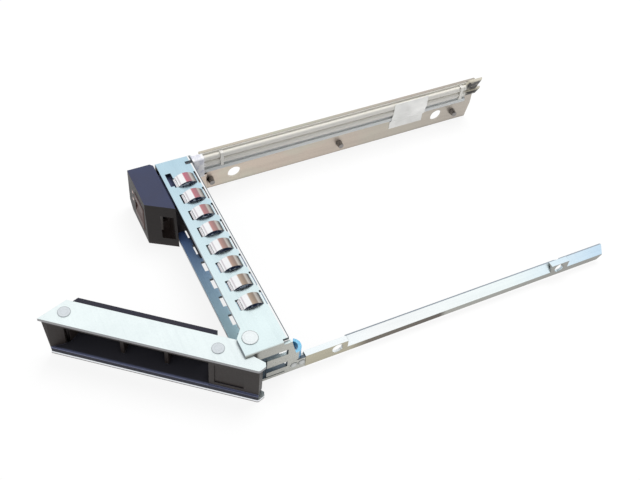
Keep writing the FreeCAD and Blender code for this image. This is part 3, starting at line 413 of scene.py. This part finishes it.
def zinc_wall(kit):
    """Colour what stands up: a painted reflection in warm grey outside, and painted shade inside.
    """
    wall = kit.mix(kit.past(Y, *WALL_ENDS), rgb(160, 160, 154), rgb(186, 186, 178))
    low, high = WALL_OUTSIDE
    outer = kit.between(kit.maths("ABSOLUTE", kit.along(X)), low * MM, high * MM)
    return kit.mix(outer, rgb(84, 92, 98), wall)


def painted_shade_under_arches(kit):
    """Return 1 on the top plate's painted shade under each contact finger."""
    run = kit.maths("SUBTRACT", kit.along(X), FINGER_START * MM)
    step = kit.maths("FRACT", kit.maths("DIVIDE", run, FINGER_PITCH * MM))
    under = kit.between(step, *(FINGER_WIDTH / FINGER_PITCH + share for share in GROUND_SIDE))
    for axis, low, high in ((X, FINGER_START, FINGERS_END + FINGER_GAP / 2),
                            (Y, GROUND_FRONT, GROUND_BACK), (Z, GROUND_LOW, GROUND_HIGH)):
        under = kit.all_of(under, kit.past(axis, low - GROUND_BLUR, low),
                           kit.past(axis, high + GROUND_BLUR, high))
    return under


def handle_tint(kit):
    """Bright plating: slightly blue at the far end and grey on the top plate's rim.

    The low plate's rim is white as a painted highlight, above a dark foot.
    """
    flat = kit.mix(kit.past(X, *HANDLE_TIP), rgb(232, 243, 249), rgb(245, 255, 255))
    # The low plate's white rim is a painted highlight
    low = kit.mix(kit.past(Z, *LOW_PLATE_RIM), rgb(112, 104, 100), rgb(246, 248, 252))
    rim = kit.mix(kit.past(Z, *UPPER_RIM), low, rgb(150, 150, 152))
    return kit.mix(kit.faces(Z, 0.8, 0.4), flat, rim)


def rivet_tint(kit):
    """Rivet steel that is grey on the head and dark where the moulding wraps the shank."""
    shank = kit.all_of(kit.past(Z, *SHANK_FOOT), kit.past(Z, *SHANK_TOP))
    return kit.mix(shank, rgb(222, 228, 232), rgb(44, 40, 40))


def rail_tint(kit):
    """Warm bare plating in patches that greys towards the rear and above the light pipes."""
    patches = kit.noise(scale=55.0, detail=3.0, rough=0.6, vector=kit.stretch((1.0, 0.5, 1.0)))
    front = kit.mix(kit.between(patches, 0.42, 0.58), rgb(202, 200, 184), rgb(208, 193, 179))
    face = kit.mix(kit.past(Y, *RAIL_REAR), front, rgb(186, 178, 168))
    above = kit.all_of(kit.past(Z, *ABOVE_PIPES), kit.faces(X, 0.0, 0.3))
    return kit.mix(above, face, rgb(184, 184, 182))


def rail_bands(kit, *stops):
    """Colour the low rail along its length by stops of (place, colour)."""
    stops = [(place * MM, colour) for place, colour in stops]
    return kit.bands(kit.along(Y), 0.0, BANDS_LENGTH * MM, stops)


def low_rail_tint(kit):
    """Low rail: a bright panel, bluer to the rear, a grey sheared edge and a banded lip.

    The lip darkens midway as a painted reflection and is plain on its inner face. What faces the
    front isn't metallic.
    """
    kit.metal = kit.faces(Y, -0.7, -0.3)
    # The lip's dark stretch from 36 to 60 is a painted reflection
    lip = rail_bands(kit, (12, rgb(184, 178, 158)), (30, rgb(176, 170, 150)),
                     (36, rgb(116, 109, 100)), (60, rgb(96, 90, 84)),
                     (62, rgb(164, 164, 158)), (118, rgb(150, 150, 146)))
    lip = kit.mix(kit.faces(X, 0.5, -0.5), lip, rgb(172, 170, 162))
    panel = rail_bands(kit, (20, rgb(246, 253, 255)), (40, rgb(253, 255, 255)),
                       (85, rgb(246, 255, 255)), (118, rgb(206, 230, 248)))
    panel = kit.mix(kit.faces(X, -0.2, -0.4), panel, rgb(150, 162, 174))
    return kit.mix(kit.faces(Z, 0.2, 0.45), lip, panel)


def painted_arch_reflections(kit, rose, brown):
    """Paint reflections on an arch by its facing, from its front foot over the top to its back."""
    white = rgb(253, 253, 254)
    return kit.bands(kit.facing(Y), -1.0, 1.0, (
        (-0.92, rgb(238, 240, 244)), (-0.60, white), (-0.52, rgb(206, 198, 204)), (-0.45, white),
        (-0.14, white), (-0.06, rose), (0.28, brown), (0.40, rgb(204, 198, 190)),
        (0.58, rgb(150, 146, 142)), (0.74, rgb(128, 128, 136))))


def finger_tint(kit):
    """Polished spring steel: painted reflections, white on its front half and rosy to brown behind,
    and painted shade, dark on cut edges and undersides.

    The cut edges and undersides aren't metallic and have no crevice shade.
    """
    far = painted_arch_reflections(kit, rgb(206, 120, 138), rgb(176, 128, 138))
    near = painted_arch_reflections(kit, rgb(188, 168, 150), rgb(150, 136, 124))
    arch = kit.mix(kit.past(X, *ROSY_TO_BROWN), far, near)
    # Cut edges and undersides are painted dark as shade
    shaded_flank = kit.between(kit.maths("ABSOLUTE", kit.facing(X)), 0.4, 0.8)
    shaded_flank = kit.maths("MAXIMUM", shaded_flank, kit.faces(Z, -0.1, -0.3))
    kit.metal = kit.maths("SUBTRACT", 1.0, shaded_flank)
    kit.open_air = shaded_flank
    return kit.mix(shaded_flank, arch, rgb(62, 64, 80))


def plastic(name, side, top, worn, rough, level=None, over=None, closed=0.45):
    """Moulded black plastic: spark-eroded grain, faint handling haze and rubbed edges.

    The top colour, a painted reflection, lies above the level, where one is given, and over paints
    on the rest. Closed is as for steel, and above 1 it paints light into a dark bay.
    """
    kit = Nodes(name)
    pits = kit.noise(scale=2400.0, detail=3.0, rough=0.6)
    haze = kit.noise(scale=90.0, detail=4.0, rough=0.6)
    up = kit.faces(Z, *FACING_UP)
    if level:
        up = kit.all_of(up, kit.past(Z, *level))
    body = kit.mix(kit.between(haze, 0.35, 0.75, 0.0, 0.3), kit.mix(up, side, top), worn)
    body = kit.mix(kit.all_of(kit.edges(0.2), 0.6), body, worn)
    if over:
        body = over(kit, body)
    kit.set(Base_Color=kit.blend("MULTIPLY", 1.0, body, kit.crevice(reach=4.0, floor=closed)),
            Roughness=kit.maths("ADD", kit.sway(pits, rough - 0.05, rough + 0.05),
                                kit.sway(haze, -0.06, 0.06)),
            Specular_IOR_Level=0.35)
    kit.bump(pits, strength=0.25, depth=0.06)
    return kit.material


def lip_over(kit, body):
    """Paint the handle's lip: a pale painted highlight over a dark face, grey on the cells' floor
    behind.
    """
    low = kit.past(Z, *LIP_TOP)
    # The pale line is a painted highlight
    line = kit.past(Z, *LIP_LINE)
    body = kit.mix(low, body, kit.mix(line, rgb(26, 27, 44), rgb(104, 110, 140)))
    lip_end, cells_start = LIP_TO_CELLS
    inward = kit.part_of(kit.stretch(ALL_WAYS, turn=(0, 0, -HANDLE_ANGLE)), Y)
    inward = kit.between(inward, lip_end * MM, cells_start * MM)
    return kit.mix(kit.all_of(inward, low), body, rgb(52, 52, 58))


def clear(name, tint, rough, see_through):
    """Clear moulded plastic with faint flow lines along its length."""
    kit = Nodes(name)
    flow = kit.noise(scale=700.0, detail=2.0, rough=0.5, vector=kit.stretch((1.0, 0.008, 1.0)))
    haze = kit.noise(scale=120.0, detail=3.0, rough=0.5)
    body = kit.mix(kit.sway(haze, 0.0, 0.35), tint(kit), rgb(214, 213, 210))
    # Crevices are faintly darkened with painted shade
    kit.set(Base_Color=kit.blend("MULTIPLY", 1.0, body, kit.crevice(reach=0.9, floor=0.88)),
            Roughness=kit.sway(flow, rough - 0.04, rough + 0.05),
            Transmission_Weight=see_through, IOR=1.49)
    kit.bump(flow, strength=0.05, depth=0.03)
    return kit.material


def pipe_tint(kit):
    """Light pipe: cream on top and grey on its face as painted light, dark inside the end prism,
    milky at the bend.
    """
    # Cream on top and grey on the face is painted light
    face = kit.mix(kit.faces(Z, 0.62, 0.9), rgb(208, 206, 199), rgb(230, 226, 215))
    grain = kit.noise(scale=900.0, detail=2.0, rough=0.6, vector=kit.stretch((1.0, 0.2, 1.0)))
    bright = kit.maths("MAXIMUM", kit.between(grain, 0.58, 0.64), kit.faces(Z, 0.5, 0.7))
    prism = kit.mix(bright, rgb(34, 30, 27), rgb(190, 184, 166))
    tail = kit.mix(kit.past(Y, *PIPE_PRISM), face, prism)
    return kit.mix(kit.past(Y, *PIPE_BEND), tail, rgb(240, 240, 243))


def strip_tint(kit):
    """Backing strip: blue grey below the pipes, cream above, milky where it wraps them in front."""
    body = kit.mix(kit.past(Z, *STRIP_TOP), rgb(204, 208, 209), rgb(206, 203, 194))
    cloud = kit.between(kit.noise(scale=420.0, detail=3.0, rough=0.6), 0.42, 0.6)
    milky = kit.mix(cloud, rgb(250, 250, 252), rgb(204, 206, 220))
    return kit.mix(kit.past(Y, *STRIP_WRAP), body, milky)


def paper(name):
    """Plain label stock with fibres, soft creases and slightly greyed patches."""
    kit = Nodes(name)
    fibres = kit.noise(scale=3200.0, detail=4.0, rough=0.7, vector=kit.stretch((1.0, 0.4, 1.0)))
    patches = kit.noise(scale=160.0, detail=3.0, rough=0.5)
    body = kit.mix(kit.sway(patches, 0.0, 1.0), rgb(214, 214, 212), rgb(238, 238, 236))
    kit.set(Base_Color=body, Roughness=kit.sway(fibres, 0.55, 0.75))
    height = kit.maths("ADD", fibres, kit.maths("MULTIPLY", patches, 2.0))
    kit.bump(height, strength=0.2, depth=0.06)
    return kit.material


FINISHES = {
    "zinc": steel("zinc_plating", zinc_tint, ALONG_X, rough=0.30, rim=0.7),
    "rail": steel("rail_steel", rail_tint, ALONG_Y, rough=0.38, spots=0.6),
    "low_rail": steel("low_rail_steel", low_rail_tint, ALONG_Y, rough=0.34, spots=0.5, rim=0.8,
                      veil=0.96),
    "bright": steel("bright_plating", handle_tint, ALONG_X, rough=0.34, rim=0.75),
    "finger": steel("finger_steel", finger_tint, ALONG_X, rough=0.16, rim=0.7, width=0.07,
                    closed=0.35),
    "rivet": steel("rivet_steel", rivet_tint, ALL_WAYS, rough=0.32, rim=0.5, width=0.4),
    "small_rivet": steel("small_rivet_steel", plain(rgb(196, 198, 196)), ALL_WAYS, rough=0.32,
                         rim=0.25, width=0.5),
    "pin": steel("pin_steel", plain(rgb(248, 254, 255)), ALL_WAYS, rough=0.30, rim=0.3,
                 width=0.5),
    "stud": steel("stud_steel", plain(rgb(146, 142, 140)), ALL_WAYS, rough=0.36, rim=0.8),
    "wire": steel("spring_wire", plain(rgb(168, 170, 174)), ALL_WAYS, rough=0.30),
    # Top colours are painted reflections; closed above 1 paints light into the bay and on the hook
    "black": plastic("black_moulding", side=rgb(30, 25, 23), top=rgb(54, 59, 82),
                     worn=rgb(60, 56, 56), rough=0.5, level=BLOCK_TOP, closed=3.0),
    "hook": plastic("hook_moulding", side=rgb(62, 58, 56), top=rgb(54, 54, 62),
                    worn=rgb(84, 80, 78), rough=0.42, closed=4.5),
    "insert": plastic("insert_moulding", side=rgb(36, 30, 28), top=rgb(32, 33, 46),
                      worn=rgb(58, 52, 50), rough=0.5, over=lip_over),
    "brown": plastic("button_moulding", side=rgb(70, 48, 44), top=rgb(52, 42, 50),
                     worn=rgb(104, 80, 72), rough=0.42),
    "pipe": clear("light_pipe", pipe_tint, rough=0.3, see_through=0.12),
    "lens": clear("window_lens", plain(rgb(176, 120, 104)), rough=0.12, see_through=0.3),
    "clip": clear("pipe_clip", plain(rgb(226, 224, 218)), rough=0.16, see_through=0.2),
    "frosted": clear("frosted_strip", strip_tint, rough=0.3, see_through=0.15),
    "paper": paper("label_paper"),
}
WEARS = {
    "zinc": ("front_chassis",),
    "rail": ("far_rail",),
    "low_rail": ("near_rail",),
    "bright": ("handle_top_plate", "handle_bottom_plate"),
    "finger": ("emi_finger_strip",),
    "rivet": ("handle_rivets",),
    "small_rivet": ("near_rail_rivets", "far_rail_rivets"),
    "pin": ("pivot_pin",),
    "stud": ("locating_studs",),
    "wire": ("button_spring", "handle_spring"),
    "black": ("latch_housing",),
    "hook": ("latch_hook",),
    "insert": ("handle_insert",),
    "brown": ("release_button",),
    "pipe": ("light_pipe_upper", "light_pipe_lower"),
    "lens": ("indicator_lens_upper", "indicator_lens_lower"),
    "clip": ("light_pipe_clip_front", "light_pipe_clip_rear"),
    "frosted": ("light_pipe_carrier",),
    "paper": ("blank_label",),
}


def wear_finishes():
    """Give every CAD node its finish."""
    for finish, nodes in WEARS.items():
        for node in nodes:
            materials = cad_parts[node].data.materials
            materials.clear()
            materials.append(FINISHES[finish])


def add_object(name, data):
    """Make an object and put it into the scene."""
    thing = bpy.data.objects.new(name, data)
    bpy.context.scene.collection.objects.link(thing)
    return thing


def finger_side():
    """Return the finger's outer line as (y, z): front hook, arch, and heel down to the band."""
    middle = (ARCH_FRONT + ARCH_BACK) / 2
    half = (ARCH_BACK - ARCH_FRONT) / 2
    rise = ARCH_TOP - ARCH_FOOT
    radius = (half ** 2 + rise ** 2) / (2 * rise)
    reach = math.asin(half / radius)
    arch = []
    for step in range(ARCH_STEPS + 1):
        turn = reach * (2 * step / ARCH_STEPS - 1)
        arch.append((middle + radius * math.sin(turn), ARCH_TOP - radius * (1 - math.cos(turn))))
    hook = [(TONGUE_FRONT, LEG_FOOT),
            (TONGUE_FRONT + HOOK_LEAN, TONGUE_LEVEL - HOOK_DROP),
            (TONGUE_FRONT + HOOK_BEND, TONGUE_LEVEL),
            (ARCH_FRONT - HOOK_BEND, TONGUE_LEVEL + TONGUE_RISE)]
    heel = [(BAND_BACK - HEEL_BEND, ARCH_FOOT - HEEL_BEND),
            (BAND_BACK - HEEL_LEAN, ARCH_FOOT - HEEL_DROP),
            (BAND_BACK, BAND_LEVEL)]
    return hook, arch, heel


def bend_strip(mesh, low, high, line):
    """Add one closed strip of spring steel, low to high across, whose outer side follows (y, z)."""
    rows = []
    for index, (y, z) in enumerate(line):
        before, after = line[max(index - 1, 0)], line[min(index + 1, len(line) - 1)]
        run, climb = after[0] - before[0], after[1] - before[1]
        length = math.hypot(run, climb)
        inner = (y + climb / length * FINGER_SHEET, z - run / length * FINGER_SHEET)
        places = ((low, y, z), (high, y, z), (high, *inner), (low, *inner))
        rows.append([mesh.verts.new([value * MM for value in place]) for place in places])
    mesh.faces.new(rows[0])
    mesh.faces.new(rows[-1][::-1])
    for first, second in zip(rows, rows[1:]):
        for side in range(4):
            following = (side + 1) % 4
            face = mesh.faces.new((first[side], first[following], second[following], second[side]))
            face.smooth = True
            mesh.edges.get((first[side], second[side])).smooth = False


def contact_fingers():
    """Bend the contact strip: narrow arched fingers that rise from one band under the top plate."""
    mesh = bmesh.new()
    hook, arch, heel = finger_side()
    inset = (FINGER_WIDTH - LEG_WIDTH) / 2
    for number in range(FINGER_COUNT):
        low = FINGER_START + number * FINGER_PITCH
        bend_strip(mesh, low + inset, low + FINGER_WIDTH - inset, hook + arch[:2])
        bend_strip(mesh, low, low + FINGER_WIDTH, arch + heel)
    band = [(BAND_FRONT, BAND_LEVEL), (BAND_BACK, BAND_LEVEL)]
    bend_strip(mesh, FINGER_START, FINGERS_END, band)
    bmesh.ops.recalc_face_normals(mesh, faces=mesh.faces)
    data = bpy.data.meshes.new("contact_fingers")
    mesh.to_mesh(data)
    mesh.free()
    data.materials.append(FINISHES["finger"])
    piece = add_object("contact_fingers", data)
    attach(piece, "chassis")
    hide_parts("emi_finger_strip")


def push_spring():
    """Stand in for the button's spring with a copy of it that has a mesh of its own."""
    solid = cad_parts["button_spring"]
    piece = add_object("push_spring", solid.data.copy())
    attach(piece, "chassis")
    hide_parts("button_spring")
    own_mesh(piece)


def seen_ray(tree):
    """Return 1 for camera, glossy and transmission rays, which show the plain background."""
    path = tree.nodes.new("ShaderNodeLightPath")
    total = path.outputs["Is Camera Ray"]
    for kind in ("Is Glossy Ray", "Is Transmission Ray"):
        node = tree.nodes.new("ShaderNodeMath")
        node.operation = "MAXIMUM"
        tree.links.new(total, node.inputs[0])
        tree.links.new(path.outputs[kind], node.inputs[1])
        total = node.outputs[0]
    return total


def floor():
    """Lay the pale floor, which looks white and keeps a faint shadow."""
    mesh = bpy.data.meshes.new("floor")
    corners = [(x * FLOOR_HALF, y * FLOOR_HALF, FLOOR_LEVEL)
               for x, y in ((-1, -1), (1, -1), (1, 1), (-1, 1))]
    mesh.from_pydata(corners, [], [(0, 1, 2, 3)])
    thing = add_object("floor", mesh)
    kit = Nodes("floor")
    kit.set(Base_Color=(0.9, 0.9, 0.9, 1.0), Roughness=0.9)
    glow = kit.add("ShaderNodeEmission")
    glow.inputs["Color"].default_value = WHITE
    glow.inputs["Strength"].default_value = 1.0
    blend = kit.add("ShaderNodeMixShader")
    kit.feed(blend.inputs["Fac"], kit.maths("MULTIPLY", seen_ray(kit.tree), FLOOR_GLOW))
    kit.feed(blend.inputs[1], kit.shader.outputs["BSDF"])
    kit.feed(blend.inputs[2], glow.outputs["Emission"])
    kit.feed(kit.tree.nodes["Material Output"].inputs["Surface"], blend.outputs["Shader"])
    mesh.materials.append(kit.material)


def lamp(name, place, size, power):
    """Hang one soft round lamp that shines on the part but isn't mirrored in its metal."""
    data = bpy.data.lights.new(name, "AREA")
    data.shape = "DISK"
    data.size = size
    data.energy = power
    thing = add_object(name, data)
    thing.location = place
    thing.rotation_euler = (Vector(CENTRE) - Vector(place)).to_track_quat("-Z", "Y").to_euler()
    thing.visible_glossy = False


def camera():
    """Stand the camera where the photo was taken from."""
    data = bpy.data.cameras.new("camera")
    data.sensor_width = SENSOR_WIDTH
    data.lens = FOCAL_PIXELS * SENSOR_WIDTH / IMAGE_WIDTH
    data.clip_start = NEAREST * MM
    turn = Matrix((Vector(RIGHT), -Vector(DOWN), -Vector(AHEAD))).transposed()
    thing = add_object("camera", data)
    thing.matrix_world = Matrix.Translation(Vector(EYE) * MM) @ turn.to_4x4()
    bpy.context.scene.camera = thing


def studio():
    """Fill the room with even light that looks white where the camera and mirrors see it."""
    world = bpy.data.worlds.new("studio")
    world.use_nodes = True
    tree = world.node_tree
    sky = tree.nodes["Background"]
    sky.inputs["Color"].default_value = WHITE
    strength = tree.nodes.new("ShaderNodeMapRange")
    strength.inputs["To Min"].default_value = SKY_ON_PART
    strength.inputs["To Max"].default_value = SKY_SEEN
    tree.links.new(seen_ray(tree), strength.inputs["Value"])
    tree.links.new(strength.outputs["Result"], sky.inputs["Strength"])
    bpy.context.scene.world = world


wear_finishes()
contact_fingers()
push_spring()
floor()
camera()
for name, place, size, power in LAMPS:
    lamp(name, place, size, power)
studio()
bpy.context.scene.view_settings.view_transform = "Standard"
